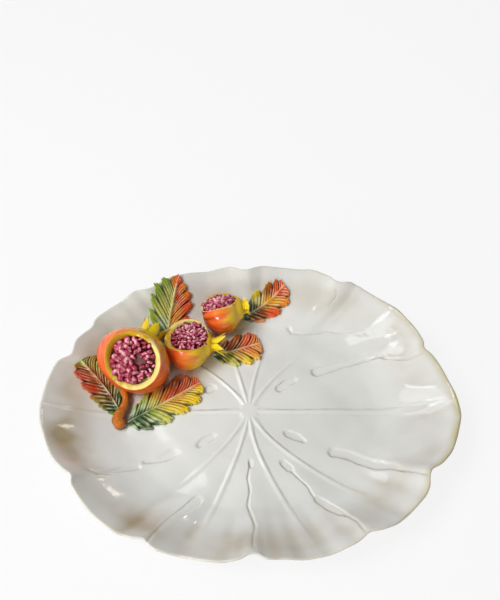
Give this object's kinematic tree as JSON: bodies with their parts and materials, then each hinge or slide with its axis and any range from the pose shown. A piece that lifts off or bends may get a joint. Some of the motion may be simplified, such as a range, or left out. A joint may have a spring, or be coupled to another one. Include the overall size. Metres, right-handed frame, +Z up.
{
  "type": "leaf tray",
  "caption": "Oval ruffled leaf-shaped serving platter in glazed earthenware, with veins, notched raised rim and an applied spray of opened pomegranates, leaves and a twig.",
  "frame": {"origin": "on the table plane of the foot ring, under the hub where the leaf's veins meet, at the middle of the platter's outline", "axes": "+X along the platter's length to the right, +Y across it to the back where the fruits lie to the left, +Z up"},
  "size_m": [0.4118, 0.3324, 0.0718],
  "materials": {
    "ivory_glaze": "glossy ivory tin glaze, pooled grey-beige in the hollows",
    "rind_glaze": "glossy brushed orange-red glaze fading to yellow",
    "aril_glaze": "glossy crimson glaze, pale pink on the seeds' tops",
    "crown_glaze": "glossy yellow glaze, olive in the folds",
    "leaf_glaze": "glossy green, yellow and orange glazes, dark in the engraved veins",
    "twig_glaze": "glossy orange-brown glaze"
  },
  "bodies": {
    "root": {"platter": "ivory_glaze", "large_rind": "rind_glaze", "large_arils": "aril_glaze", "large_crown": "crown_glaze", "medium_rind": "rind_glaze", "medium_arils": "aril_glaze", "medium_crown": "crown_glaze", "small_rind": "rind_glaze", "small_arils": "aril_glaze", "small_crown": "crown_glaze", "twig": "twig_glaze", "upper_left_leaf": "leaf_glaze", "lower_left_leaf": "leaf_glaze", "upper_right_leaf": "leaf_glaze", "lower_right_leaf": "leaf_glaze", "middle_leaf": "leaf_glaze"}
  },
  "joints": []
}
